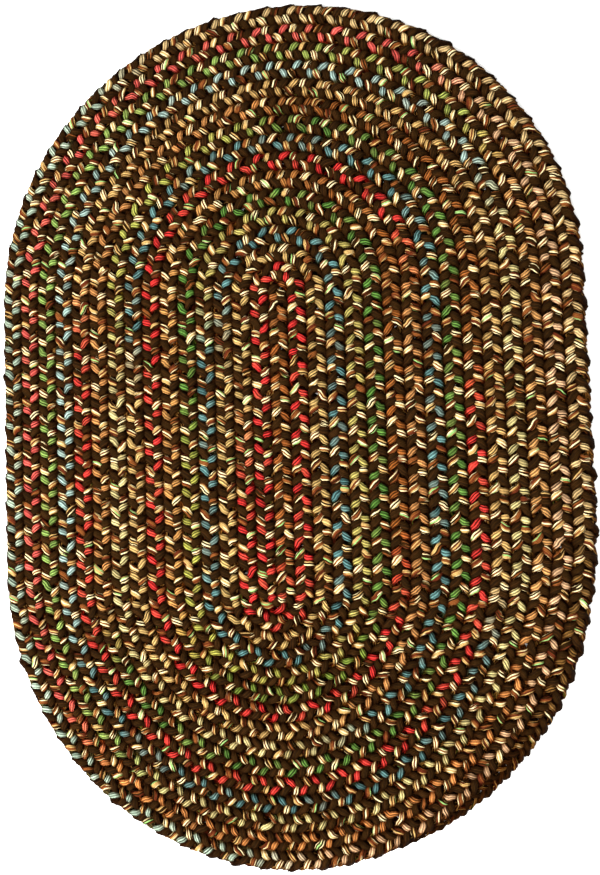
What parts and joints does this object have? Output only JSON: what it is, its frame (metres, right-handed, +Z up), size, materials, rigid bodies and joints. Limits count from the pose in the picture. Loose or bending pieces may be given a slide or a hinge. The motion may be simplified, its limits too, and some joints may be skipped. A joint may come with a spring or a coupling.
{
  "type": "oval braided rug",
  "caption": "Oval floor rug of one flat three-strand braid, coiled and laced edge to edge, in dark brown with bright space-dyed flecks.",
  "frame": {"origin": "middle of the underside, on the floor", "axes": "+Z up, +Y along the rug away from its sewn-down tail, +X across it, with the tail's side at +X"},
  "size_m": [0.6108, 0.8908, 0.012],
  "materials": {
    "braid": "matt knitted wool-blend yarn in a plaited braid"
  },
  "bodies": {
    "root": {"braided_rug": "braid"}
  },
  "joints": []
}
